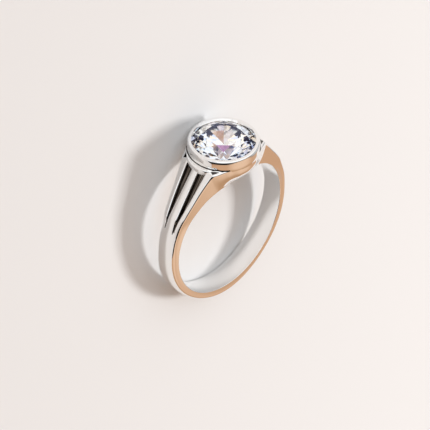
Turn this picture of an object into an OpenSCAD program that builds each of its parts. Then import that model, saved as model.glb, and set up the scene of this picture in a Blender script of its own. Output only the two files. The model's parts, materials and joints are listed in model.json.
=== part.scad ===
// Silver ring with a round stone in a bezel and three ridges on each shoulder.
// It is drawn upright round its finger hole, with X across the ring, Y along the
// finger and Z up through the stone, and then laid on its side, as it rests by itself.

/* [Finger hole] */
// Diameter of the finger hole
finger_d = 17.3; // [16.8:0.1:17.8]

/* [Band] */
// Width of the band at the bottom
band_w = 2.9; // [2.7:0.1:3.2]
// Thickness of the band at the bottom
band_t = 1.3; // [1.2:0.05:1.4]
// Rise of the outside's middle over the start of its rounded edges
crown_h = 0.2; // [0.15:0.01:0.25]
// Rounding of the outside's edges at the bottom
edge_round = 0.28; // [0.24:0.01:0.32]
// Width of the band at its sides, where it is narrowest
waist_w = 2.64; // [2.5:0.02:2.9]
// Thickness of the band at its sides
waist_t = 1.1; // [1:0.05:1.2]

/* [Shoulders] */
// Angle from the bottom at which the shoulder runs on straight to the head
ramp_angle = 126; // [125:0.5:127]
// Thickness of the band where the shoulder runs on straight
ramp_t = 1.59; // [1.55:0.01:1.65]
// Width over the outer edges where the ridges meet the head
ridges_w = 4.76; // [4.66:0.02:4.86]
// Width of the middle ridge at its foot
ridge_foot_w = 1.24; // [1.1:0.02:1.3]
// Width of the middle ridge at the head
ridge_head_w = 0.86; // [0.8:0.02:1]
// Angle from the bottom at which the grooves begin
groove_angle = 114; // [112:1:116]
// Width of a groove at the head
groove_w = 1.05; // [0.8:0.05:1.1]
// Depth of a groove
groove_depth = 0.65; // [0.3:0.05:0.8]

/* [Head] */
// Outer diameter of the bezel
bezel_d = 8.5; // [8.4:0.05:8.6]
// Height of the bezel's rim above the finger hole
rim_h = 3.9; // [3.8:0.05:4]
// Opening of the rim over the stone
rim_opening_d = 7.26; // [7.24:0.02:7.4]
// Height of the collar's top below the rim
collar_drop = 1.25; // [1.2:0.05:1.3]
// Width of the head's underside at the finger hole
gallery_w = 6.02; // [5.8:0.02:6.2]
// Diameter of the hole under the stone
light_hole_d = 3.6; // [2:0.1:4]

/* [Stone] */
// Diameter of the stone
stone_d = 7.5; // [7.4:0.02:7.52]
// Height of the stone's table above the rim
table_h = 0.75; // [0.65:0.05:0.75]
// Width of the table as a part of the stone's diameter
table_part = 0.57; // [0.53:0.01:0.57]
// Angle of the crown's main facets
crown_angle = 34.5; // [34.5:0.5:36]
// Angle of the pavilion's main facets
pavilion_angle = 40.5; // [40:0.5:41]
// Turn of the stone round its own axis
stone_turn = 20; // [0:1:45]
// Thickness of the stone's girdle
girdle_t = 0.15; // [0.1:0.01:0.2]
// Clearance between the stone and its seat
stone_gap = 0.05; // [0.03:0.01:0.1]

/* [Hidden] */

round_steps = 144;
// How far the cuts reach past the metal
cut_reach = 12;

hole_r = finger_d / 2;
bezel_r = bezel_d / 2;
rim_z = hole_r + rim_h;
collar_z = rim_z - collar_drop;
// Flat top of the gallery, just below the collar's
deck_drop = 0.02;
deck_z = collar_z - deck_drop;
ramp_r = hole_r + ramp_t;

// The gallery's sides stop just inside the bezel's wall
gallery_inset = 0.05;
gallery_r = bezel_r - gallery_inset;
// The bezel's straight wall ends here, and its underside draws in below
wall_depth = 0.7;
wall_foot_z = collar_z - wall_depth;
cup_foot_h = 0.5;
cup_foot_z = hole_r + cup_foot_h;
cup_foot_r = gallery_w / 2;

// Half the gallery's width where the plane at angle a cuts the deck
function bezel_chord(a) = sqrt(pow(gallery_r, 2) - pow(deck_z * tan(180 - a), 2));

// Cross-sections of one half of the ring, from the bottom up to the head
// Columns: angle from the bottom, half width at the hole, half width outside,
// rise of the crown over its rounded edges, radius of the edges
ANGLE = 0;
HOLE_SIDE = 1;
OUTER_SIDE = 2;
CROWN = 3;
EDGE_ROUND = 4;
// The band draws in this much from the hole to its rounded edges
side_draft = 0.04;
lower_half_w = (band_w + waist_w) / 4;
sections = [
    [0, band_w / 2, band_w / 2 - side_draft, crown_h, edge_round],
    [45, lower_half_w, lower_half_w - side_draft, 0.14, 0.31],
    [90, waist_w / 2, waist_w / 2 - side_draft, 0.08, 0.34],
    [106, 1.37, 1.27, 0.12, 0.20],
    [118, 1.46, 1.36, 0.22, 0.16],
    [127, 1.60, 1.58, 0.16, 0.18],
    [136, 1.80, 1.79, 0.09, 0.22],
    [146, 2.02, 2.02, 0.10, 0.26],
    [156, 2.34, ridges_w / 2, 0.19, 0.26],
    [158.5, 2.42, 2.60, 0.22, 0.26],
    [160, 2.47, 2.75, 0.21, 0.24],
    [162, 2.54, 2.94, 0.14, 0.22],
    [164, 2.60, 3.13, 0.06, 0.18],
    [166, 2.66, 3.33, 0.02, 0.12],
    [168, 2.71, bezel_chord(168), 0.02, 0.06],
    [174, 2.91, bezel_chord(174), 0.02, 0.03],
    [180, gallery_w / 2, gallery_r, 0.02, 0.03],
];

// Thickness over the band's crest up to the straight shoulder
// Columns: angle from the bottom, thickness
THICKNESS = 1;
// The band is worn thin between its bottom and its sides
lower_wear = 0.15;
thicknesses = [
    [0, band_t],
    [45, (band_t + waist_t) / 2 - lower_wear],
    [90, waist_t],
    [114, 1.37],
    [ramp_angle, ramp_t],
];

// Smooth curve through one column of a table, level at both ends
function row_below(table, a, i = 0) =
    i >= len(table) - 2 || table[i + 1][ANGLE] > a ? i : row_below(table, a, i + 1);
function chord_slope(table, i, column) =
    (table[i + 1][column] - table[i][column]) / (table[i + 1][ANGLE] - table[i][ANGLE]);
function slope_at(table, i, column) =
    i == 0 || i == len(table) - 1 ? 0 :
    let (
        before = chord_slope(table, i - 1, column),
        after = chord_slope(table, i, column)
    )
    before * after <= 0 ? 0 : 2 * before * after / (before + after);
function smooth(table, a, column) =
    let (
        i = row_below(table, a),
        span = table[i + 1][ANGLE] - table[i][ANGLE],
        t = (a - table[i][ANGLE]) / span,
        start = table[i][column],
        end = table[i + 1][column],
        leaves = slope_at(table, i, column) * span,
        arrives = slope_at(table, i + 1, column) * span
    )
    start + t * leaves
    + t * t * (3 * (end - start) - 2 * leaves - arrives)
    + t * t * t * (2 * (start - end) + leaves + arrives);

// Share of the way from start to end, kept between 0 and 1
function share(a, start, end) = min(1, max(0, (a - start) / (end - start)));
function eased(t) = t * t * (3 - 2 * t);

// Radius of the crest from the hole's centre: round band, straight shoulder, flat deck
function crest_r(a) =
    a < ramp_angle ? hole_r + smooth(thicknesses, a, THICKNESS) :
    min(ramp_r / cos(a - ramp_angle), deck_z / cos(180 - a));

// The grooves deepen from their tips and end in a wall just before the collar
groove_full_angle = 130;
groove_wall_start = 157.6;
groove_wall_end = 158.6;
groove_spread = 0.8;
groove_tip_w = 0.12;
function groove_at(a) =
    groove_depth * eased(share(a, groove_angle, groove_full_angle))
    * (1 - share(a, groove_wall_start, groove_wall_end));
function groove_width(a) =
    max(groove_tip_w, groove_w * pow(share(a, groove_angle, groove_wall_start), groove_spread));
function ridge_half(a) =
    ridge_foot_w / 2
    - (ridge_foot_w - ridge_head_w) / 2 * share(a, groove_angle, groove_wall_start);

// Ridges are rounded a little towards the grooves, from this part of their width on
ridge_round = 0.06;
ridge_flat_part = 0.6;
ridge_flat_drop = 0.3 * ridge_round;
// The grooves have steep walls, which take this part of their width and depth
groove_wall_part = 0.14;
groove_wall_drop = 0.85;
// Steps of the outside's rounded edges
edge_steps = 4;

// Heights up the side at which the section has a point, and where the flare ends
// The last one lies inside the finger hole, which is cut out afterwards
side_steps = [0.8, 0.6, 0.4, 0.2, -0.2];
flare_end = 0.8;

// One half of a section, from the crest out over the rounded edge and down to the hole
// Each point is [distance from the middle plane, radius from the hole's centre]
function half_section(a) =
    let (
        foot = smooth(sections, a, HOLE_SIDE),
        edge = smooth(sections, a, OUTER_SIDE),
        rise = smooth(sections, a, CROWN),
        corner_r = smooth(sections, a, EDGE_ROUND),
        // The crown is a shallow arch that runs on into the rounded edge
        slope = atan(2 * rise / (edge - corner_r)),
        crown_edge = edge - corner_r * (1 - sin(slope)),
        edge_r = crest_r(a) - rise - corner_r * cos(slope),
        depth = groove_at(a),
        grooved = depth > 0 ? 1 : 0,
        rounding = ridge_round * grooved,
        wall_drop = max(rounding, depth * groove_wall_drop),
        inner = ridge_half(a),
        width = groove_width(a),
        outer = inner + width,
        // Distance from the middle plane, and depth below the plain crown
        tops = [
            [0, 0],
            [inner * ridge_flat_part, ridge_flat_drop * grooved],
            [inner, rounding],
            [inner + width * groove_wall_part, wall_drop],
            [inner + width / 2, depth],
            [outer - width * groove_wall_part, wall_drop],
            [outer, rounding],
            [(outer + crown_edge) / 2, 0],
        ]
    )
    concat(
        [for (p = tops) [p[0], crest_r(a) - rise * pow(p[0] / crown_edge, 2) - p[1]]],
        [for (i = [0:edge_steps])
            let (t = slope + (90 - slope) * i / edge_steps)
            [edge - corner_r * (1 - sin(t)), edge_r + corner_r * cos(t)]],
        [for (f = side_steps)
            [foot + (edge - foot) * sin(90 * min(1, f / flare_end)), hole_r + (edge_r - hole_r) * f]]
    );

// Whole section: the half above, and its mirror image without the crest
function section(a) =
    let (half = half_section(a))
    concat([for (i = [len(half) - 1:-1:1]) [-half[i][0], half[i][1]]], half);

// Angles of the sections, closer together where the form changes fast
half_angles = concat(
    [for (a = [0:8:104]) a],
    [110],
    [for (a = [114:4:150]) a],
    [153.5, 156, 157.6, 158.6],
    [for (a = [160:1:168]) a],
    [170, 173, 176.5, 180]
);
angles = concat(
    [for (i = [len(half_angles) - 2:-1:1]) -half_angles[i]],
    half_angles
);

module swept_band() {
    outline = [for (a = angles) section(abs(a))];
    count = len(outline[0]);
    rings = len(angles);
    points = [for (i = [0:rings - 1]) for (p = outline[i])
        [p[1] * sin(angles[i]), p[0], -p[1] * cos(angles[i])]];
    function corner(i, j) = (i % rings) * count + j % count;
    faces = [for (i = [0:rings - 1]) for (j = [0:count - 1]) each [
        [corner(i, j), corner(i + 1, j + 1), corner(i, j + 1)],
        [corner(i, j), corner(i + 1, j), corner(i + 1, j + 1)],
    ]];
    polyhedron(points, faces, convexity = 10);
}

// Outline of the cup from its foot up the wall and over the rounded rim
// The rim's edge is rounded this far inwards and this far down
rim_round = 0.2;
rim_fall = 0.35;
module cup() {
    corner_steps = 5;
    rotate_extrude($fn = round_steps)
        polygon(concat(
            [[0, cup_foot_z], [cup_foot_r, cup_foot_z], [bezel_r, wall_foot_z]],
            [for (i = [0:corner_steps])
                let (t = 90 * i / corner_steps)
                [bezel_r - rim_round * (1 - cos(t)), rim_z - rim_fall * (1 - sin(t))]],
            [[0, rim_z]]
        ));
}

// Crescent bar that hugs the bezel and ends the grooves
collar_r = 3.41;
collar_offset = 1.45;
collar_t = 0.7;
collar_round = 0.2;
module collar() {
    corner_steps = 4;
    translate([collar_offset, 0, 0])
        rotate_extrude($fn = round_steps)
            polygon(concat(
                [[0, collar_z - collar_t], [collar_r, collar_z - collar_t]],
                [for (i = [0:corner_steps])
                    let (t = 90 * i / corner_steps)
                    [collar_r - collar_round * (1 - cos(t)), collar_z - collar_round * (1 - sin(t))]],
                [[0, collar_z]]
            ));
}

// Small three-cornered recess between the collar, the outer ridge and the side
pocket_depth = 0.5;
pocket_corners = [[4.14, 1.93], [3.55, 2.63], [4.32, 2.32]];
module pocket() {
    translate([0, 0, collar_z - pocket_depth])
        linear_extrude(height = 2 * pocket_depth)
            polygon(pocket_corners);
}

// Number of main facets above the girdle, and of those below it
mains = 8;
// Heights of the stone, from its table down
stone_r = stone_d / 2;
table_r = stone_r * table_part;
table_z = rim_z + table_h;
girdle_top_z = table_z - (stone_r - table_r) * tan(crown_angle);
girdle_foot_z = girdle_top_z - girdle_t;
culet_z = girdle_foot_z - stone_r * tan(pavilion_angle);

// Room for the stone, with the rim's lip over its girdle and the light hole below
lip_drop = 0.24;
lip_edge = 0.04;
lip_bevel_angle = 52;
module stone_seat() {
    hole = light_hole_d / 2;
    pocket_r = stone_r + stone_gap;
    lip_r = rim_opening_d / 2;
    lip_z = rim_z - lip_drop;
    bevel_z = lip_z + lip_edge;
    seat_drop = stone_gap / cos(pavilion_angle);
    seat_z = girdle_foot_z - seat_drop;
    rotate_extrude($fn = round_steps)
        polygon([
            [0, 0],
            [hole, 0],
            [hole, seat_z - (stone_r - hole) * tan(pavilion_angle)],
            [pocket_r, seat_z + stone_gap * tan(pavilion_angle)],
            [pocket_r, girdle_top_z + stone_gap],
            [lip_r, lip_z],
            [lip_r, bevel_z],
            [lip_r + cut_reach / tan(lip_bevel_angle), bevel_z + cut_reach],
            [0, bevel_z + cut_reach],
        ]);
}

// Pose of the ring at rest: the bezel's wall and the band's rounded edge touch the floor
bottom_half = half_section(0);
rest_tilt = min([for (p = bottom_half) atan2(bezel_r - p[0], wall_foot_z + p[1])]);
rest_drop = bezel_r * cos(rest_tilt) - wall_foot_z * sin(rest_tilt);
table_reach = table_r * max([for (i = [0:mains - 1]) sin(stone_turn + i * 360 / mains)]);
far_end = table_z * cos(rest_tilt) + table_reach * sin(rest_tilt);
near_end = max([for (p = bottom_half) p[1] * cos(rest_tilt) + p[0] * sin(rest_tilt)]);
module at_rest() {
    translate([0, (near_end - far_end) / 2, rest_drop])
        rotate([rest_tilt - 90, 0, 0])
            children();
}

// Band, shoulders, collars and bezel are soldered into one solid
module silver_ring() {
    color("silver")
        at_rest()
            difference() {
                union() {
                    swept_band();
                    cup();
                    collar();
                    mirror([1, 0, 0]) collar();
                }
                rotate([90, 0, 0])
                    cylinder(r = hole_r, h = 2 * cut_reach, center = true, $fn = round_steps);
                stone_seat();
                for (across = [0, 1]) for (along = [0, 1])
                    mirror([across, 0, 0]) mirror([0, along, 0]) pocket();
            }
}

// Round brilliant: main facets above and below, and twice as many sides at the girdle
// Distances of its corners from the axis, as parts of the stone's radius
star_part = 0.76;
lower_half_part = 0.22;
culet_part = 0.02;
// One ring of corners
function level(part, z, count, turn) =
    [for (i = [0:count - 1])
        let (a = turn + i * 360 / count)
        [stone_r * part * cos(a), stone_r * part * sin(a), z]];
// Height at which a main facet meets the plane halfway to its neighbour
function on_crown(part) =
    girdle_top_z + stone_r * (1 - part * cos(180 / mains)) * tan(crown_angle);
function on_pavilion(part) =
    girdle_foot_z - stone_r * (1 - part * cos(180 / mains)) * tan(pavilion_angle);
// The facets are the hull of these corners, so any triangles that use them all will do
module brilliant() {
    half_step = 180 / mains;
    corners = concat(
        level(table_part, table_z, mains, 0),
        level(star_part, on_crown(star_part), mains, half_step),
        level(1, girdle_top_z, 2 * mains, 0),
        level(1, girdle_foot_z, 2 * mains, 0),
        level(lower_half_part, on_pavilion(lower_half_part), mains, half_step),
        level(culet_part, culet_z + culet_part * stone_r * tan(pavilion_angle), mains, 0)
    );
    hull()
        polyhedron(corners, [for (i = [0:len(corners) - 3]) [i, i + 1, i + 2]]);
}

module stone() {
    color([0.93, 0.95, 1, 0.8])
        at_rest()
            rotate([0, 0, stone_turn])
                brilliant();
}

silver_ring();
stone();
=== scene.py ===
# Silver ring lying on its side: polished metal, a cut stone, a pale floor and soft studio light
import json
from math import atan, atan2, cos, degrees, hypot, pi, radians, sin, sqrt, tan

import bpy
from mathutils import Matrix, Vector


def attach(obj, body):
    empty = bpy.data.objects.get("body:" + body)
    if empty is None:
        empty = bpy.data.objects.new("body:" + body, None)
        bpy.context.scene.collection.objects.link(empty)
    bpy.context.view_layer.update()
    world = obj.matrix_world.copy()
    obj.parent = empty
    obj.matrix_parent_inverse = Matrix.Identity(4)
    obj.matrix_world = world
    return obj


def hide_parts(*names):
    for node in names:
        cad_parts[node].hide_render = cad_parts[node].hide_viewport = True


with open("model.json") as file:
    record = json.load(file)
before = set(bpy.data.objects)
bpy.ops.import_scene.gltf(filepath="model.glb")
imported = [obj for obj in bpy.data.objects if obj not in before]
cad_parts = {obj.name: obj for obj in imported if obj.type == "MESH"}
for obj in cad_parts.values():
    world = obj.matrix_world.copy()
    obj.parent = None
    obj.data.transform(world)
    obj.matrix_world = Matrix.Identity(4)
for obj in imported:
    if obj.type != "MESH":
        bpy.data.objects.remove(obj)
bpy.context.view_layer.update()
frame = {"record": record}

# The pieces are modelled upright, in millimetres, round the finger hole's centre: X across the ring,
# Y along the finger and Z up through the stone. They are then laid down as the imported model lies.
metresPerMm = 0.001
fingerHole = next(m for m in frame["record"]["mounts"] if m["name"] == "finger_hole")
holeRadius = fingerHole["dims"]["r_mm"]
holeCentre = Vector(fingerHole["pos_m"])
alongFinger = -Vector(fingerHole["axis"]).normalized()
acrossRing = Vector((1, 0, 0))
throughStone = acrossRing.cross(alongFinger)
restTurn = Matrix((acrossRing, alongFinger, throughStone)).transposed()
restPlace = Matrix.Translation(holeCentre) @ (restTurn * metresPerMm).to_4x4()


# Helpers

def pickOnly(obj):
    if bpy.context.object and bpy.context.object.mode != "OBJECT":
        bpy.ops.object.mode_set(mode="OBJECT")
    bpy.ops.object.select_all(action="DESELECT")
    obj.select_set(True)
    bpy.context.view_layer.objects.active = obj


def editAll(obj):
    pickOnly(obj)
    bpy.ops.object.mode_set(mode="EDIT")
    bpy.ops.mesh.select_all(action="SELECT")


def turnedSolid(name, outline, steps, centre=(0, 0)):
    # outline is [radius, height] from the bottom up, and each pair is one extrusion of the last face
    radius, height = outline[0]
    bpy.ops.object.select_all(action="DESELECT")
    bpy.ops.mesh.primitive_circle_add(vertices=steps, radius=radius, fill_type="NGON",
                                      location=(centre[0], centre[1], height))
    obj = bpy.context.object
    obj.name = name
    editAll(obj)
    for nextRadius, nextHeight in outline[1:]:
        bpy.ops.mesh.extrude_region_move(TRANSFORM_OT_translate={"value": (0, 0, nextHeight - height)})
        grow = nextRadius / radius
        bpy.ops.transform.resize(value=(grow, grow, 1), center_override=(centre[0], centre[1], nextHeight))
        radius, height = nextRadius, nextHeight
    bpy.ops.mesh.select_all(action="SELECT")
    bpy.ops.mesh.normals_make_consistent(inside=False)
    bpy.ops.object.mode_set(mode="OBJECT")
    bpy.ops.object.transform_apply(location=True, rotation=True, scale=True)
    return obj


def combine(target, tool, operation):
    pickOnly(target)
    modifier = target.modifiers.new(operation.title(), "BOOLEAN")
    modifier.object = tool
    modifier.operation = operation
    modifier.solver = "EXACT"
    bpy.ops.object.modifier_apply(modifier=modifier.name)
    bpy.data.objects.remove(tool)


def layDown(obj):
    # The object ends at the origin, with its place in its mesh
    pickOnly(obj)
    obj.matrix_world = restPlace
    bpy.ops.object.transform_apply(location=True, rotation=True, scale=True)


def arc(count):
    return [radians(90) * i / count for i in range(count + 1)]


# Band and shoulders: one closed sweep round the finger hole

bandSizes = {
    "bottomWidth": 2.9,
    "bottomThickness": 1.3,
    "bottomBulge": 0.20,     # rise of the outside's middle over the start of its rounded edges
    "waistBulge": 0.08,
    "bottomRound": 0.28,     # rounding of the outside's edges
    "waistRound": 0.34,
    "waistWidth": 2.64,
    "waistThickness": 1.1,
    "sideDraft": 0.04,       # the sides draw in this much towards the crown
    "lowerWear": 0.15,       # worn thin between the bottom and the sides
    "rampAngle": 126,        # from here on the shoulder runs straight to the head
    "rampThickness": 1.59,
    "ridgesWidth": 4.76,     # over the outer edges, where the ridges meet the head
    "ridgeFootWidth": 1.24,
    "ridgeHeadWidth": 0.86,
    "ridgeRound": 0.06,
    "grooveStart": 114,
    "grooveFull": 130,
    "grooveWall": 157.6,
    "grooveEnd": 158.6,
    "grooveWidth": 1.05,
    "grooveTip": 0.12,
    "grooveSpread": 0.8,
    "grooveDepth": 0.65,
    "grooveCorner": 1.1,     # degrees by which the end wall starts earlier beside the ridges
    "outerRidgeRound": 0.7,  # part of the ridges' rounding that the outer ridge has
    "outerRidgeFade": 3,     # the higher, the sooner that rounding ends across the outer ridge
    "flareTop": 0.8,         # the side's flare is upright above this part of its height
    "innerEdge": 0.07,       # rounding of the edges at the finger
}
headSizes = {
    "bezelRadius": 4.25,
    "rimHeight": 3.9,        # above the finger hole
    "rimOpening": 7.26,
    "rimRound": 0.2,         # how far the rim's edge is rounded inwards, and how far down
    "rimFall": 0.35,
    "collarDrop": 1.25,
    "deckDrop": 0.02,        # below the collars
    "galleryInset": 0.006,
    "galleryWidth": 6.02,
    "wallFoot": 0.05,        # the wall is upright from this far below the deck
    "wallDepth": 0.7,        # below the collars, down to where the cup is narrower
    "cupInset": 0.3,
    "cupFoot": 0.5,
    "lightHole": 3.6,
    "lipDrop": 0.24,
    "lipEdge": 0.04,
    "lipBevel": 52,
    "collarRadius": 3.41,
    "collarOffset": 1.45,
    "collarThickness": 0.7,
    "collarRound": 0.2,
    "crease": 0.08,          # half width of the narrow cut between the collars and the wall, painted dark as shade
    "creaseDepth": 0.10,
    "creaseReach": 3.59,     # the line ends where this circle round the collar's centre meets the wall
}
stoneSizes = {
    "radius": 3.75,
    "tableHeight": 0.75,     # above the rim
    "tablePart": 0.57,
    "starPart": 0.76,
    "lowerHalfPart": 0.22,
    "culetPart": 0.02,
    "crownAngle": 34.5,
    "pavilionAngle": 40.5,
    "girdle": 0.15,
    "turn": 20,
    "gap": 0.05,
}

rimZ = holeRadius + headSizes["rimHeight"]
collarZ = rimZ - headSizes["collarDrop"]
deckZ = collarZ - headSizes["deckDrop"]
galleryRadius = headSizes["bezelRadius"] - headSizes["galleryInset"]
rampRadius = holeRadius + bandSizes["rampThickness"]


def galleryHalf(angle):
    # Half the gallery's width where the plane at this angle cuts the deck
    return sqrt(galleryRadius ** 2 - (deckZ * tan(radians(180 - angle))) ** 2)


# Half width at the hole, midway between the bottom and the waist
lowerHalf = (bandSizes["bottomWidth"] + bandSizes["waistWidth"]) / 4
# Angle from the bottom, half width at the hole, half width outside, bulge, rounding of the edge
sections = [
    (0, bandSizes["bottomWidth"] / 2, bandSizes["bottomWidth"] / 2 - bandSizes["sideDraft"],
     bandSizes["bottomBulge"], bandSizes["bottomRound"]),
    (45, lowerHalf, lowerHalf - bandSizes["sideDraft"], 0.14, 0.31),
    (90, bandSizes["waistWidth"] / 2, bandSizes["waistWidth"] / 2 - bandSizes["sideDraft"],
     bandSizes["waistBulge"], bandSizes["waistRound"]),
    (106, 1.37, 1.27, 0.12, 0.20),
    (118, 1.46, 1.36, 0.22, 0.16),
    (127, 1.60, 1.58, 0.16, 0.18),
    (136, 1.80, 1.79, 0.09, 0.22),
    (146, 2.02, 2.02, 0.10, 0.26),
    (156, 2.34, bandSizes["ridgesWidth"] / 2, 0.19, 0.26),
    (158.5, 2.42, 2.60, 0.22, 0.26),
    (160, 2.47, 2.75, 0.21, 0.24),
    (162, 2.54, 2.94, 0.14, 0.22),
    (164, 2.60, 3.13, 0.06, 0.18),
    (166, 2.66, 3.33, 0.02, 0.12),
    (168, 2.71, galleryHalf(168), 0.02, 0.06),
    (174, 2.91, galleryHalf(174), 0.01, 0.02),
    (180, headSizes["galleryWidth"] / 2, galleryRadius, 0.01, 0.02),
]
# Angle from the bottom, thickness at the crest
thicknesses = [
    (0, bandSizes["bottomThickness"]),
    (45, (bandSizes["bottomThickness"] + bandSizes["waistThickness"]) / 2 - bandSizes["lowerWear"]),
    (90, bandSizes["waistThickness"]),
    (114, 1.37),
    (bandSizes["rampAngle"], bandSizes["rampThickness"]),
]


def slopeAt(table, i, column):
    if i in (0, len(table) - 1):
        return 0
    before, after = ((table[k + 1][column] - table[k][column]) / (table[k + 1][0] - table[k][0])
                     for k in (i - 1, i))
    return 0 if before * after <= 0 else 2 * before * after / (before + after)


def smoothValue(table, angle, column):
    # Smooth curve through one column, level at both ends
    i = max(k for k in range(len(table) - 1) if k == 0 or table[k][0] <= angle)
    span = table[i + 1][0] - table[i][0]
    t = (angle - table[i][0]) / span
    start, end = table[i][column], table[i + 1][column]
    leaves, arrives = slopeAt(table, i, column) * span, slopeAt(table, i + 1, column) * span
    return (start + t * leaves + t * t * (3 * (end - start) - 2 * leaves - arrives)
            + t ** 3 * (2 * (start - end) + leaves + arrives))


def share(value, start, end):
    return min(1, max(0, (value - start) / (end - start)))


def eased(t):
    return t * t * (3 - 2 * t)


def crestRadius(angle):
    ramp = bandSizes["rampAngle"]
    if angle < ramp:
        return holeRadius + smoothValue(thicknesses, angle, 1)
    return min(rampRadius / cos(radians(angle - ramp)), deckZ / cos(radians(180 - angle)))


# Across a groove: part of its width, part of its depth
grooveShape = [(0, 0.08), (0.04, 0.3), (0.08, 0.6), (0.14, 0.85), (0.24, 0.95), (0.38, 0.99), (0.5, 1)]
grooveShape += [(1 - across, depth) for across, depth in grooveShape[-2::-1]]


def grooveAt(angle):
    # Half width of the middle ridge, width of the groove beside it and its depth, without the end wall
    along = share(angle, bandSizes["grooveStart"], bandSizes["grooveWall"])
    inner = (bandSizes["ridgeFootWidth"] * (1 - along) + bandSizes["ridgeHeadWidth"] * along) / 2
    width = max(bandSizes["grooveTip"], bandSizes["grooveWidth"] * along ** bandSizes["grooveSpread"])
    full = eased(share(angle, bandSizes["grooveStart"], bandSizes["grooveFull"]))
    return inner, width, bandSizes["grooveDepth"] * full


def grooveDepthAt(angle, across):
    # The end wall's corners are rounded, so it starts earlier beside the ridges
    corner = bandSizes["grooveCorner"] * (2 * across - 1) ** 4
    start, end = bandSizes["grooveWall"] - corner, bandSizes["grooveEnd"] - corner
    return grooveAt(angle)[2] * (1 - eased(share(angle, start, end)))


# Across half of the middle ridge: part of its half width, part of its rounding
ridgeShape = [(0, 0), (0.3, 0), (0.55, 0.08), (0.75, 0.2), (0.88, 0.4), (0.96, 0.65)]
# Steps of half a section: over the outer ridge, round its edge, down the side and round the inner edge
sectionSteps = {"crown": 6, "edge": 7, "side": 14, "innerEdge": 7}
# Where the inside has its edges, as parts of its half width
insideParts = (0.66, 0.33, 0)


def outsideProfile(angle):
    # Half width where the rounded edge starts, bulge, slope where it starts, half width and rounding
    edge, bulge, rounding = (smoothValue(sections, angle, column) for column in (2, 3, 4))
    slope = atan(2 * bulge / (edge - rounding))
    return edge - rounding * (1 - sin(slope)), bulge, slope, edge, rounding


def halfSection(angle):
    # From the crest out over the edge, down the side and in along the hole: [across, radius]
    crownEdge, bulge, slope, edge, rounding = outsideProfile(angle)
    crest = crestRadius(angle)
    foot = smoothValue(sections, angle, 1)
    inner, width, full = grooveAt(angle)
    outer = inner + width
    grooved = 1 if full > 0 and grooveDepthAt(angle, 0.5) > 0 else 0
    ridgeRound = bandSizes["ridgeRound"] * grooved
    points = [(inner * part, ridgeRound * drop) for part, drop in ridgeShape]
    points += [(inner + width * part, max(ridgeRound, grooveDepthAt(angle, part) * depth))
               for part, depth in grooveShape]
    crownSteps = sectionSteps["crown"]
    for i in range(1, crownSteps + 1):
        part = i / crownSteps
        fade = max(0, 1 - bandSizes["outerRidgeFade"] * part) ** 2
        drop = ridgeRound * bandSizes["outerRidgeRound"] * fade
        points.append((outer + (crownEdge - outer) * part, drop))
    top = [(y, crest - bulge * (y / crownEdge) ** 2 - drop) for y, drop in points]
    edgeRadius = crest - bulge - rounding * cos(slope)
    edgeSteps = sectionSteps["edge"]
    turns = [slope + (pi / 2 - slope) * i / edgeSteps for i in range(1, edgeSteps + 1)]
    top += [(edge - rounding * (1 - sin(t)), edgeRadius + rounding * cos(t)) for t in turns]
    innerEdge = bandSizes["innerEdge"]
    side = []
    for i in range(1, sectionSteps["side"]):
        height = 1 - i / sectionSteps["side"]
        y = foot + (edge - foot) * sin(radians(90) * min(1, height / bandSizes["flareTop"]))
        side.append((y, holeRadius + innerEdge + (edgeRadius - holeRadius - innerEdge) * height))
    corner = [(foot - innerEdge * (1 - cos(t)), holeRadius + innerEdge * (1 - sin(t)))
              for t in arc(sectionSteps["innerEdge"])]
    inside = [(foot * part, holeRadius) for part in insideParts]
    return top + side + corner + inside


# Angles of the sections: from, to, steps between them
sectionSpans = [(0, 112, 40), (112, 154, 36), (154, 158, 16), (158, 180, 36)]


def sectionAngles():
    angles = [start + (end - start) * i / steps for start, end, steps in sectionSpans for i in range(steps)]
    return angles + [sectionSpans[-1][1]]


def makeBand():
    half = sectionAngles()
    angles = [-a for a in half[-2:0:-1]] + half
    count = 2 * len(halfSection(0)) - 2
    thickness = bandSizes["bottomThickness"]
    bpy.ops.object.select_all(action="DESELECT")
    bpy.ops.mesh.primitive_torus_add(major_segments=len(angles), minor_segments=count,
                                     major_radius=holeRadius + thickness / 2, minor_radius=thickness / 2)
    band = bpy.context.object
    band.name = "ring_metal"
    # The torus's rings become the sections, each in its own plane through the hole's axis
    for i, angle in enumerate(angles):
        halfPoints = halfSection(abs(angle))
        loop = halfPoints + [(-y, r) for y, r in halfPoints[-2:0:-1]]
        turn = radians(angle)
        for j, (y, r) in enumerate(loop):
            band.data.vertices[i * count + j].co = (r * sin(turn), y, -r * cos(turn))
    editAll(band)
    bpy.ops.mesh.normals_make_consistent(inside=False)
    bpy.ops.object.mode_set(mode="OBJECT")
    return band


# Head: bezel, collars, seat and recesses

# Steps round each turned piece and across its rounding, and the parts of the wall's height with an edge
headSteps = {"bezel": 192, "rimRound": 10, "collar": 160, "collarRound": 8, "wallParts": (0.33, 0.66)}


def makeBezel():
    rim, fall, radius = headSizes["rimRound"], headSizes["rimFall"], headSizes["bezelRadius"]
    outline = [(headSizes["galleryWidth"] / 2, holeRadius + headSizes["cupFoot"]),
               (radius - headSizes["cupInset"], collarZ - headSizes["wallDepth"]),
               (radius, deckZ - headSizes["wallFoot"])]
    outline += [(radius, deckZ + (rimZ - fall - deckZ) * part) for part in headSteps["wallParts"]]
    outline += [(radius - rim * (1 - cos(t)), rimZ - fall * (1 - sin(t)))
                for t in arc(headSteps["rimRound"])]
    return turnedSolid("bezel", outline, headSteps["bezel"])


def makeCollar(side):
    radius, edge = headSizes["collarRadius"], headSizes["collarRound"]
    outline = [(radius, collarZ - headSizes["collarThickness"])]
    outline += [(radius - edge * (1 - cos(t)), collarZ - edge * (1 - sin(t)))
                for t in arc(headSteps["collarRound"])]
    return turnedSolid("collar", outline, headSteps["collar"], (side * headSizes["collarOffset"], 0))


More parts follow.
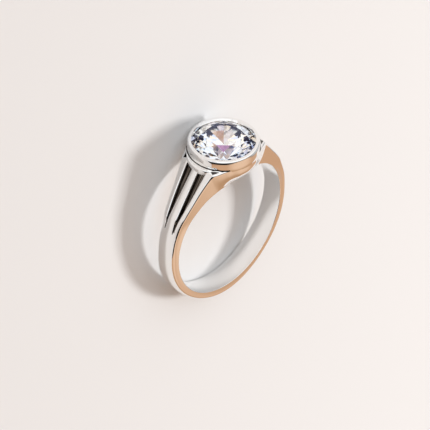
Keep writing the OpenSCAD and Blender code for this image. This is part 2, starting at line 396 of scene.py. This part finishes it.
stoneRadius = stoneSizes["radius"]
tableRadius = stoneRadius * stoneSizes["tablePart"]
tableZ = rimZ + stoneSizes["tableHeight"]
crownSlope = tan(radians(stoneSizes["crownAngle"]))
pavilionSlope = tan(radians(stoneSizes["pavilionAngle"]))
girdleTopZ = tableZ - (stoneRadius - tableRadius) * crownSlope
girdleFootZ = girdleTopZ - stoneSizes["girdle"]


def makeSeat():
    gap, hole = stoneSizes["gap"], headSizes["lightHole"] / 2
    seatZ = girdleFootZ - gap / cos(radians(stoneSizes["pavilionAngle"]))
    lip = headSizes["rimOpening"] / 2
    lipZ = rimZ - headSizes["lipDrop"]
    above = 1                # the cutting shape ends in the open, over the rim
    outline = [
        (hole, 0),
        (hole, seatZ - (stoneRadius - hole) * pavilionSlope),
        (stoneRadius + gap, seatZ + gap * pavilionSlope),
        (stoneRadius + gap, girdleTopZ + gap),
        (lip, lipZ),
        (lip, lipZ + headSizes["lipEdge"]),
        (lip + above / tan(radians(headSizes["lipBevel"])), lipZ + headSizes["lipEdge"] + above),
    ]
    return turnedSolid("seat", outline, headSteps["bezel"])


# Three-cornered recess between the collar, the outer ridge and the side, painted grey inside as shade
pocketSizes = {"depth": 0.5, "corners": ((4.14, 1.93), (3.55, 2.63), (4.32, 2.32)), "tarnish": 0.45}


def makePocket(across, along):
    depth = pocketSizes["depth"]
    bpy.ops.object.select_all(action="DESELECT")
    bpy.ops.mesh.primitive_circle_add(vertices=3, radius=depth, fill_type="NGON",
                                      location=(0, 0, collarZ - depth))
    pocket = bpy.context.object
    for vertex, (x, y) in zip(pocket.data.vertices, pocketSizes["corners"]):
        vertex.co = (across * x, along * y, 0)
    editAll(pocket)
    bpy.ops.mesh.extrude_region_move(TRANSFORM_OT_translate={"value": (0, 0, 2 * depth)})
    bpy.ops.mesh.select_all(action="SELECT")
    bpy.ops.mesh.normals_make_consistent(inside=False)
    bpy.ops.object.mode_set(mode="OBJECT")
    bpy.ops.object.transform_apply(location=True, rotation=True, scale=True)
    return pocket


def makeCrease(side):
    # Narrow ring round the bezel's foot, kept only where the collar lies against it
    radius, half, depth = (headSizes[k] for k in ("bezelRadius", "crease", "creaseDepth"))
    bottom, top = collarZ - depth, collarZ + depth
    past = 1                 # the two trimming shapes stand out this far above and below
    crease = turnedSolid("crease", [(radius + half, bottom), (radius + half, top)], headSteps["bezel"])
    coreOutline = [(radius - half, bottom - past), (radius - half, top + past)]
    combine(crease, turnedSolid("core", coreOutline, headSteps["bezel"]), "DIFFERENCE")
    reach = headSizes["creaseReach"]
    reachOutline = [(reach, bottom - past), (reach, top + past)]
    centre = (side * headSizes["collarOffset"], 0)
    combine(crease, turnedSolid("reach", reachOutline, headSteps["collar"], centre), "INTERSECT")
    return crease


# Painted shade in the grooves: darker with depth, lighter on the end wall
paintedGrooveShade = {
    "start": 0.12,           # part of the groove's depth where it starts, and where it is full
    "full": 0.45,
    "endLoss": 0.6,          # how much of it is lost on the end wall
    "endBefore": 0.4,        # degrees before the end wall where the loss starts
    "endPast": 0.1,          # degrees past the end wall where the painted shade stops
    "floor": 0.05,           # what lies deeper than the floor by this is the inside of the hole
}
onFace = 0.01                # a point this near to a face lies on it


# Faces in the crease get painted shade
def inCrease(point):
    away = abs(hypot(point.x, point.y) - headSizes["bezelRadius"])
    return (away < headSizes["crease"] + onFace
            and abs(point.z - collarZ) < headSizes["creaseDepth"] + onFace)


def inPocket(point):
    # Inside the three-cornered recess, and below its edge
    corners = [Vector(corner) for corner in pocketSizes["corners"]]
    middle = sum(corners, Vector((0, 0))) / 3
    here = Vector((abs(point.x), abs(point.y)))
    for a, b in zip(corners, corners[1:] + corners[:1]):
        side = (b - a).orthogonal().normalized()
        if (here - a).dot(side) * (middle - a).dot(side) < 0 and abs((here - a).dot(side)) > onFace:
            return False
    return point.z > collarZ - pocketSizes["depth"] - onFace


def inGroove(point):
    # How far the point lies down in a groove, for the painted shade there
    x, y, z = point
    angle = degrees(atan2(abs(x), -z))
    inner, width, full = grooveAt(angle)
    part = (abs(y) - inner) / width
    if full == 0 or not 0 < part < 1 or angle > bandSizes["grooveEnd"] + paintedGrooveShade["endPast"]:
        return 0
    crownEdge, bulge = outsideProfile(angle)[:2]
    down = crestRadius(angle) - bulge * (y / crownEdge) ** 2 - hypot(x, z)
    if down > full + paintedGrooveShade["floor"]:
        return 0
    endWall = share(angle, bandSizes["grooveWall"] - paintedGrooveShade["endBefore"], bandSizes["grooveEnd"])
    dark = share(down / full, paintedGrooveShade["start"], paintedGrooveShade["full"])
    return dark * (1 - paintedGrooveShade["endLoss"] * endWall)


# Painted shade: the crease is painted fully dark, the pocket grey and the grooves darker with depth
def markPaintedShade(ring):
    mesh = ring.data
    depths = [inGroove(vertex.co) for vertex in mesh.vertices]
    tarnish = mesh.attributes.new("tarnish", "FLOAT", "CORNER")
    for face in mesh.polygons:
        points = [mesh.vertices[v].co for v in face.vertices]
        dark = 1 if all(inCrease(p) for p in points) else 0
        # The pocket is painted grey, as shade in the recess
        if all(inPocket(p) for p in points):
            dark = pocketSizes["tarnish"]
        for corner in face.loop_indices:
            tarnish.data[corner].value = dark or depths[mesh.loops[corner].vertex_index]


# Vertices nearer than mergeGap become one, and edges that turn less than smoothAngle are shaded smooth
ringFinish = {"mergeGap": 0.0005, "smoothAngle": 32}


def makeRing():
    ring = makeBand()
    combine(ring, makeBezel(), "UNION")
    for side in (1, -1):
        combine(ring, makeCollar(side), "UNION")
    combine(ring, makeSeat(), "DIFFERENCE")
    for side in (1, -1):
        combine(ring, makeCrease(side), "DIFFERENCE")
    for across in (1, -1):
        for along in (1, -1):
            combine(ring, makePocket(across, along), "DIFFERENCE")
    editAll(ring)
    bpy.ops.mesh.remove_doubles(threshold=ringFinish["mergeGap"])
    bpy.ops.mesh.dissolve_degenerate(threshold=ringFinish["mergeGap"])
    bpy.ops.object.mode_set(mode="OBJECT")
    markPaintedShade(ring)
    layDown(ring)
    pickOnly(ring)
    bpy.ops.object.shade_smooth_by_angle(angle=radians(ringFinish["smoothAngle"]))
    return ring


# Stone: a round blank, cut one facet at a time

stoneBlank = {"sides": 96, "spare": 1, "cutGap": 0.00001, "mergeGap": 0.0001}


def cutFacet(point, normal):
    bpy.ops.mesh.select_all(action="SELECT")
    bpy.ops.mesh.bisect(plane_co=point, plane_no=normal, use_fill=True, clear_outer=True,
                        threshold=stoneBlank["cutGap"])


def onGirdle(turn, radius, z):
    return Vector((radius * cos(radians(turn)), radius * sin(radians(turn)), z))


def planeThrough(a, b, c, outside):
    normal = (b - a).cross(c - a).normalized()
    return a, normal if normal.dot(outside) > 0 else -normal


def makeStone():
    mains = 8
    step = 360 / mains
    below = girdleFootZ - stoneRadius * pavilionSlope
    bpy.ops.object.select_all(action="DESELECT")
    bpy.ops.mesh.primitive_cylinder_add(vertices=stoneBlank["sides"], radius=stoneRadius,
                                        depth=tableZ - below + stoneBlank["spare"],
                                        location=(0, 0, (tableZ + below) / 2))
    stone = bpy.context.object
    stone.name = "cut_stone"
    bpy.ops.object.transform_apply(location=True, rotation=True, scale=True)
    editAll(stone)
    cutFacet((0, 0, tableZ), (0, 0, 1))
    culet = stoneRadius * stoneSizes["culetPart"]
    cutFacet((0, 0, below + culet * pavilionSlope), (0, 0, -1))
    halfCos = cos(radians(step / 2))
    star = stoneRadius * stoneSizes["starPart"]
    starZ = girdleTopZ + (stoneRadius - star * halfCos) * crownSlope
    lower = stoneRadius * stoneSizes["lowerHalfPart"]
    lowerZ = girdleFootZ - (stoneRadius - lower * halfCos) * pavilionSlope
    for i in range(mains):
        turn = stoneSizes["turn"] + i * step
        crown, pavilion = radians(stoneSizes["crownAngle"]), radians(stoneSizes["pavilionAngle"])
        top = onGirdle(turn, stoneRadius, girdleTopZ)
        foot = onGirdle(turn, stoneRadius, girdleFootZ)
        cutFacet(top, onGirdle(turn, sin(crown), cos(crown)))
        cutFacet(foot, onGirdle(turn, sin(pavilion), -cos(pavilion)))
    for i in range(mains):
        turn = stoneSizes["turn"] + i * step
        between = turn + step / 2
        starPoint = onGirdle(between, star, starZ)
        lowerPoint = onGirdle(between, lower, lowerZ)
        up, down = Vector((0, 0, 1)), Vector((0, 0, -1))
        tableA, tableB = (onGirdle(t, tableRadius, tableZ) for t in (turn, turn + step))
        cutFacet(*planeThrough(tableA, tableB, starPoint, up))
        for near in (turn, turn + step):
            topA, topB = (onGirdle(t, stoneRadius, girdleTopZ) for t in (near, between))
            footA, footB = (onGirdle(t, stoneRadius, girdleFootZ) for t in (near, between))
            cutFacet(*planeThrough(starPoint, topA, topB, up))
            cutFacet(*planeThrough(lowerPoint, footA, footB, down))
    bpy.ops.mesh.select_all(action="SELECT")
    bpy.ops.mesh.remove_doubles(threshold=stoneBlank["mergeGap"])
    bpy.ops.mesh.normals_make_consistent(inside=False)
    bpy.ops.object.mode_set(mode="OBJECT")
    paintFacetFire(stone)
    layDown(stone)
    pickOnly(stone)
    bpy.ops.object.shade_flat()
    return stone


# Materials

def newMaterial(name):
    material = bpy.data.materials.new(name)
    material.use_nodes = True
    return material, material.node_tree.nodes, material.node_tree.links


def setStops(ramp, pairs):
    # A new ramp has two stops: the first is kept and placed, the rest are added
    stops = ramp.color_ramp.elements
    stops.remove(stops[1])
    for i, (start, colour) in enumerate(pairs):
        stop = stops[0] if i == 0 else stops.new(start)
        stop.position = start
        stop.color = colour


silverLook = {
    "colour": (0.93, 0.925, 0.915, 1),
    "roughness": (0.025, 0.075),         # polished, worn
    "smudges": {"scale": 350, "detail": 4, "range": (0.35, 0.75)},
    "waves": {"scale": 260, "detail": 1, "strength": 0.02, "height": 0.0004},
    "streaks": {                         # polishing lines, fine along Y, also worn into the painted shade
        "size": (0.004, 0.00009, 0.004),
        "detail": 2,
        "range": (0.52, 0.74),
        "strength": 0.012,
        "height": 0.0001,
    },
    # Painted shade in the grooves, the crease and the pocket: near black with grey polishing lines, and
    # rougher
    "tarnishColour": (0.065, 0.050, 0.040, 1),
    "tarnishStreak": (0.34, 0.30, 0.26, 1),
    "tarnishRoughness": 0.30,
}


def silverMaterial():
    material, nodes, links = newMaterial("polishedSilver")
    shader = nodes["Principled BSDF"]
    shader.inputs["Metallic"].default_value = 1
    smudgeLook, waveLook, streakLook = (silverLook[k] for k in ("smudges", "waves", "streaks"))
    place = nodes.new("ShaderNodeTexCoord")
    smudges = nodes.new("ShaderNodeTexNoise")
    smudges.inputs["Scale"].default_value = smudgeLook["scale"]
    smudges.inputs["Detail"].default_value = smudgeLook["detail"]
    polish = nodes.new("ShaderNodeMapRange")
    polish.inputs["From Min"].default_value, polish.inputs["From Max"].default_value = smudgeLook["range"]
    polish.inputs["To Min"].default_value, polish.inputs["To Max"].default_value = silverLook["roughness"]
    # Polishing lines run round the band, as the upright ring's Y is across it everywhere
    upright = nodes.new("ShaderNodeMapping")
    upright.vector_type = "TEXTURE"
    upright.inputs["Location"].default_value = holeCentre
    upright.inputs["Rotation"].default_value = restTurn.to_euler()
    upright.inputs["Scale"].default_value = streakLook["size"]
    lines = nodes.new("ShaderNodeTexNoise")
    lines.inputs["Scale"].default_value = 1
    lines.inputs["Detail"].default_value = streakLook["detail"]
    grey = nodes.new("ShaderNodeMapRange")
    grey.inputs["From Min"].default_value, grey.inputs["From Max"].default_value = streakLook["range"]
    dark = nodes.new("ShaderNodeMix")
    dark.data_type = "RGBA"
    dark.inputs["A"].default_value = silverLook["tarnishColour"]
    dark.inputs["B"].default_value = silverLook["tarnishStreak"]
    # Painted shade: this attribute mixes the dark colour and its roughness into the silver
    tarnish = nodes.new("ShaderNodeAttribute")
    tarnish.attribute_name = "tarnish"
    colour = nodes.new("ShaderNodeMix")
    colour.data_type = "RGBA"
    colour.inputs["A"].default_value = silverLook["colour"]
    rough = nodes.new("ShaderNodeMix")
    rough.inputs["B"].default_value = silverLook["tarnishRoughness"]
    waves = nodes.new("ShaderNodeTexNoise")
    waves.inputs["Scale"].default_value = waveLook["scale"]
    waves.inputs["Detail"].default_value = waveLook["detail"]
    waving = nodes.new("ShaderNodeBump")
    waving.inputs["Strength"].default_value = waveLook["strength"]
    waving.inputs["Distance"].default_value = waveLook["height"]
    brushing = nodes.new("ShaderNodeBump")
    brushing.inputs["Strength"].default_value = streakLook["strength"]
    brushing.inputs["Distance"].default_value = streakLook["height"]
    links.new(place.outputs["Object"], smudges.inputs["Vector"])
    links.new(place.outputs["Object"], waves.inputs["Vector"])
    links.new(place.outputs["Object"], upright.inputs["Vector"])
    links.new(upright.outputs["Vector"], lines.inputs["Vector"])
    links.new(lines.outputs["Fac"], grey.inputs["Value"])
    links.new(grey.outputs["Result"], dark.inputs["Factor"])
    links.new(smudges.outputs["Fac"], polish.inputs["Value"])
    links.new(polish.outputs["Result"], rough.inputs["A"])
    links.new(tarnish.outputs["Fac"], rough.inputs["Factor"])
    links.new(tarnish.outputs["Fac"], colour.inputs["Factor"])
    links.new(dark.outputs["Result"], colour.inputs["B"])
    links.new(colour.outputs["Result"], shader.inputs["Base Color"])
    links.new(rough.outputs["Result"], shader.inputs["Roughness"])
    links.new(waves.outputs["Fac"], waving.inputs["Height"])
    links.new(lines.outputs["Fac"], brushing.inputs["Height"])
    links.new(waving.outputs["Normal"], brushing.inputs["Normal"])
    links.new(brushing.outputs["Normal"], shader.inputs["Normal"])
    return material


# Painted fire and painted dark reflections: tints of the facets colour the light through the stone. A
# facet's place is its turn round the stone from the first main facet: mains are at 0, 4, 8, halves at odd
# numbers, stars at 2, 6, 10.
stoneLook = {
    "ior": 2.17,
    "reflection": (0.50, 0.56, 0.92, 1),
    "glints": [              # broken reflections on the crown: start, colour
        (0.0, (0.10, 0.11, 0.30, 1)),
        (0.36, (0.42, 0.47, 0.80, 1)),
        (0.44, (0.16, 0.34, 0.85, 1)),
        (0.49, (0.24, 0.24, 0.42, 1)),
        (0.56, (0.62, 0.90, 1.0, 1)),
        (0.60, (0.14, 0.15, 0.34, 1)),
        (0.67, (1.0, 0.62, 0.34, 1)),
        (0.74, (0.30, 0.24, 0.46, 1)),
    ],
    "glintSize": 0.00042,
    "girdleNormal": 0.1,     # a facet whose normal is more level than this is the girdle's
    "crownNormal": 0.9,      # one that is steeper has no broken reflections
    "tableNormal": 0.99,     # one that is steeper is the table or the culet
    "clear": (1.0, 1.0, 1.0, 1),
    "crownTints": {
        1: (0.86, 0.90, 1.0, 1),
        4: (0.93, 0.86, 1.0, 1),
        7: (0.50, 0.72, 1.0, 1),
        9: (0.55, 0.62, 1.0, 1),
        11: (1.0, 0.80, 0.60, 1),
        13: (0.70, 0.84, 1.0, 1),
        16: (0.94, 0.95, 1.0, 1),
        18: (0.30, 0.09, 0.27, 1),
        20: (0.86, 0.90, 1.0, 1),
        21: (0.80, 0.88, 1.0, 1),
        25: (0.45, 0.60, 1.0, 1),
        27: (1.0, 0.78, 0.58, 1),
        28: (0.78, 0.84, 1.0, 1),
        31: (1.0, 0.90, 0.76, 1),
    },
    "pavilionTints": {
        0: (0.94, 0.90, 1.0, 1),
        1: (0.98, 0.90, 0.84, 1),
        3: (0.90, 0.88, 0.98, 1),
        7: (0.50, 0.62, 1.0, 1),
        9: (0.90, 0.70, 0.50, 1),
        12: (0.62, 0.60, 0.90, 1),
        15: (0.45, 0.30, 0.42, 1),
        21: (0.36, 0.26, 0.36, 1),
        24: (0.60, 0.62, 0.95, 1),
        27: (0.35, 0.55, 0.95, 1),
        29: (0.92, 0.72, 0.52, 1),
    },
}


def paintFacetFire(stone):
    mesh = stone.data
    mesh.attributes.new("tint", "FLOAT_COLOR", "CORNER")
    mesh.attributes.new("broken", "FLOAT", "CORNER")
    tint, broken = mesh.attributes["tint"], mesh.attributes["broken"]
    places = 32
    for face in mesh.polygons:
        turn = degrees(atan2(face.normal.y, face.normal.x)) - stoneSizes["turn"]
        rise = face.normal.z
        tints = stoneLook["crownTints" if rise > 0 else "pavilionTints"]
        colour = stoneLook["clear"]
        if stoneLook["girdleNormal"] <= abs(rise) <= stoneLook["tableNormal"]:
            colour = tints.get(round(turn * places / 360) % places, colour)
        crown = stoneLook["girdleNormal"] < rise < stoneLook["crownNormal"]
        for corner in face.loop_indices:
            tint.data[corner].color = colour
            broken.data[corner].value = 1 if crown else 0


def stoneMaterial():
    material, nodes, links = newMaterial("clearStone")
    shader = nodes["Principled BSDF"]
    shader.inputs["Transmission Weight"].default_value = 1
    shader.inputs["IOR"].default_value = stoneLook["ior"]
    shader.inputs["Roughness"].default_value = 0
    tint = nodes.new("ShaderNodeAttribute")
    tint.attribute_name = "tint"
    place = nodes.new("ShaderNodeTexCoord")
    cells = nodes.new("ShaderNodeTexVoronoi")
    cells.inputs["Scale"].default_value = 1 / stoneLook["glintSize"]
    glints = nodes.new("ShaderNodeValToRGB")
    glints.color_ramp.interpolation = "CONSTANT"
    setStops(glints, stoneLook["glints"])
    broken = nodes.new("ShaderNodeAttribute")
    broken.attribute_name = "broken"
    reflection = nodes.new("ShaderNodeMix")
    reflection.data_type = "RGBA"
    reflection.inputs["A"].default_value = stoneLook["reflection"]
    links.new(place.outputs["Object"], cells.inputs["Vector"])
    links.new(cells.outputs["Color"], glints.inputs["Fac"])
    links.new(broken.outputs["Fac"], reflection.inputs["Factor"])
    links.new(glints.outputs["Color"], reflection.inputs["B"])
    # Painted fire: the facets' tints colour the light through the stone
    links.new(tint.outputs["Color"], shader.inputs["Base Color"])
    links.new(reflection.outputs["Result"], shader.inputs["Specular Tint"])
    return material


def dress(obj, material, node):
    obj.data.materials.clear()
    obj.data.materials.append(material)
    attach(obj, "root")
    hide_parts(node)


# Floor, light and camera

floorLook = {"size": 3, "colour": (0.80, 0.80, 0.80, 1), "roughness": 0.6}


def makeFloor():
    bpy.ops.object.select_all(action="DESELECT")
    bpy.ops.mesh.primitive_plane_add(size=floorLook["size"], location=(0, 0, 0))
    floor = bpy.context.object
    floor.name = "floor"
    material, nodes = newMaterial("paleFloor")[:2]
    shader = nodes["Principled BSDF"]
    shader.inputs["Base Color"].default_value = floorLook["colour"]
    shader.inputs["Roughness"].default_value = floorLook["roughness"]
    floor.data.materials.append(material)


# The surroundings go from a warm card at one side, over a dark gap, to a white tent at the other
surroundings = {
    "whiteSide": (0, 4),     # azimuth from +Y towards +X, elevation
    "ramp": [                # nearness to the white side, colour
        (-1.0, (0.50, 0.29, 0.16, 1)),
        (-0.65, (0.64, 0.38, 0.23, 1)),
        (-0.58, (0.012, 0.012, 0.014, 1)),
        (0.14, (0.012, 0.012, 0.014, 1)),
        (0.24, (0.9, 0.91, 0.93, 1)),
        (0.7, (1.15, 1.15, 1.16, 1)),
    ],
    "fields": [              # azimuth, elevation, angle where it is full, angle where it ends, colour
        (165, 54, 10, 42, (0.84, 0.57, 0.39, 1)),
        (95, 18, 24, 40, (0.55, 0.55, 0.56, 1)),
        (-49, 15, 5, 7.5, (0.015, 0.015, 0.018, 1)),
    ],
}


def towards(azimuth, elevation):
    a, e = radians(azimuth), radians(elevation)
    return Vector((sin(a) * cos(e), cos(a) * cos(e), sin(e)))


def makeSurroundings():
    world = bpy.data.worlds.new("studio")
    bpy.context.scene.world = world
    world.use_nodes = True
    nodes, links = world.node_tree.nodes, world.node_tree.links
    place = nodes.new("ShaderNodeTexCoord")

    def nearness(azimuth, elevation, start, end):
        measure = nodes.new("ShaderNodeVectorMath")
        measure.operation = "DOT_PRODUCT"
        measure.inputs[1].default_value = towards(azimuth, elevation)
        links.new(place.outputs["Generated"], measure.inputs[0])
        fade = nodes.new("ShaderNodeMapRange")
        fade.inputs["From Min"].default_value = start
        fade.inputs["From Max"].default_value = end
        links.new(measure.outputs["Value"], fade.inputs["Value"])
        return fade

    ramp = nodes.new("ShaderNodeValToRGB")
    ramp.color_ramp.interpolation = "EASE"
    setStops(ramp, [((near + 1) / 2, colour) for near, colour in surroundings["ramp"]])
    across = nearness(*surroundings["whiteSide"], -1, 1)
    links.new(across.outputs["Result"], ramp.inputs["Fac"])
    below = ramp.outputs["Color"]
    for azimuth, elevation, fullAngle, endAngle, tint in surroundings["fields"]:
        fade = nearness(azimuth, elevation, cos(radians(endAngle)), cos(radians(fullAngle)))
        fade.interpolation_type = "SMOOTHSTEP"
        layer = nodes.new("ShaderNodeMix")
        layer.data_type = "RGBA"
        layer.inputs["B"].default_value = tint
        links.new(below, layer.inputs["A"])
        links.new(fade.outputs["Result"], layer.inputs["Factor"])
        below = layer.outputs["Result"]
    links.new(below, nodes["Background"].inputs["Color"])


keyLight = {"azimuth": 105, "elevation": 42, "distance": 0.6, "size": 0.12, "watts": 2.5}


def makeKeyLight():
    bpy.ops.object.select_all(action="DESELECT")
    direction = towards(keyLight["azimuth"], keyLight["elevation"])
    bpy.ops.object.light_add(type="AREA", location=direction * keyLight["distance"])
    lamp = bpy.context.object
    lamp.name = "softLight"
    lamp.data.size = keyLight["size"]
    lamp.data.energy = keyLight["watts"]
    # The polished metal mirrors the soft surroundings alone, without a hard spark of the lamp
    lamp.visible_glossy = False
    lamp.rotation_euler = direction.to_track_quat("Z", "Y").to_euler()


# The photograph's view, in the upright ring's own directions and millimetres
cameraView = {
    "azimuth": -47.3223,
    "elevation": 40.5988,
    "roll": -1.115,
    "distance": 588.2,
    "holeFromCentre": (0.811, -0.771),   # right and up of the picture's middle, at the hole
    "lens": 419.6,
    "sensor": 36,
    "clip": (0.05, 10),
}


def makeCamera():
    a, e, roll = (radians(cameraView[k]) for k in ("azimuth", "elevation", "roll"))
    back = Vector((sin(a) * cos(e), -cos(a) * cos(e), sin(e)))
    levelRight = Vector((cos(a), sin(a), 0))
    levelUp = back.cross(levelRight)
    right = levelRight * cos(roll) - levelUp * sin(roll)
    up = levelRight * sin(roll) + levelUp * cos(roll)
    moveX, moveY = cameraView["holeFromCentre"]
    place = back * cameraView["distance"] - right * moveX - up * moveY
    bpy.ops.object.select_all(action="DESELECT")
    bpy.ops.object.camera_add()
    camera = bpy.context.object
    camera.name = "photoCamera"
    turn = restTurn @ Matrix((right, up, back)).transposed()
    camera.matrix_world = Matrix.Translation(restPlace @ place) @ turn.to_4x4()
    camera.data.lens = cameraView["lens"]
    camera.data.sensor_width = cameraView["sensor"]
    camera.data.clip_start, camera.data.clip_end = cameraView["clip"]
    bpy.context.scene.camera = camera


makeCamera()
print("camera placed")
ring = makeRing()
dress(ring, silverMaterial(), "silver_ring")
print("ring modelled:", len(ring.data.polygons), "faces")
stone = makeStone()
dress(stone, stoneMaterial(), "stone")
print("stone cut:", len(stone.data.polygons), "faces")
makeFloor()
makeSurroundings()
makeKeyLight()
bpy.context.scene.view_settings.view_transform = "Standard"
print("floor and light placed")
